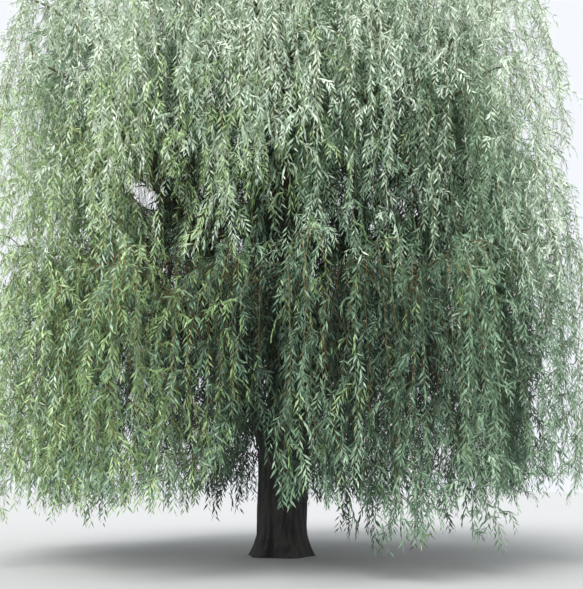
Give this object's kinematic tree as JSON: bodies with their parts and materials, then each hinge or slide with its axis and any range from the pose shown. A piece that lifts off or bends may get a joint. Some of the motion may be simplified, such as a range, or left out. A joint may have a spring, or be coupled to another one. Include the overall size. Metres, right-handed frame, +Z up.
{
  "type": "weeping willow tree",
  "caption": "A large old weeping willow with a thick trunk that forks low, climbing boughs and long curtains of drooping leafy twigs that hang almost to the ground.",
  "frame": {"origin": "middle of the flat cut under the trunk, at ground level", "axes": "+Z up the trunk, -Y towards the usual viewer, +X to that viewer's right"},
  "size_m": [13.9561, 13.9554, 16.1608],
  "materials": {
    "bark": "dark grey-brown bark, furrowed lengthwise",
    "leaves": "narrow leaves, silvery green outside and deep green inside"
  },
  "bodies": {
    "root": {"trunk": "bark", "leader_centre": "bark", "leader_left": "bark", "leader_right": "bark", "leader_back": "bark", "leader_front": "bark", "bough_crown_1": "bark", "bough_crown_2": "bark", "bough_crown_3": "bark", "bough_crown_4": "bark", "bough_crown_5": "bark", "bough_crown_6": "bark", "bough_crown_7": "bark", "bough_upper_1": "bark", "bough_upper_2": "bark", "bough_upper_3": "bark", "bough_upper_4": "bark", "bough_upper_5": "bark", "bough_upper_6": "bark", "bough_upper_7": "bark", "bough_skirt_1": "bark", "bough_skirt_2": "bark", "bough_skirt_3": "bark", "bough_skirt_4": "bark", "bough_skirt_5": "bark", "bough_skirt_6": "bark", "bough_skirt_7": "bark", "bough_skirt_8": "bark", "bough_skirt_9": "bark", "bough_inner_1": "bark", "foliage_top_centre": "leaves", "foliage_top_left": "leaves", "foliage_top_right": "leaves", "foliage_top_back": "leaves", "foliage_top_front": "leaves", "foliage_crown_1": "leaves", "foliage_crown_2": "leaves", "foliage_crown_3": "leaves", "foliage_crown_4": "leaves", "foliage_crown_5": "leaves", "foliage_crown_6": "leaves", "foliage_crown_7": "leaves", "foliage_upper_1": "leaves", "foliage_upper_2": "leaves", "foliage_upper_3": "leaves", "foliage_upper_4": "leaves", "foliage_upper_5": "leaves", "foliage_upper_6": "leaves", "foliage_upper_7": "leaves", "foliage_skirt_1": "leaves", "foliage_skirt_2": "leaves", "foliage_skirt_3": "leaves", "foliage_skirt_4": "leaves", "foliage_skirt_5": "leaves", "foliage_skirt_6": "leaves", "foliage_skirt_7": "leaves", "foliage_skirt_8": "leaves", "foliage_skirt_9": "leaves", "foliage_inner_1": "leaves"}
  },
  "joints": []
}
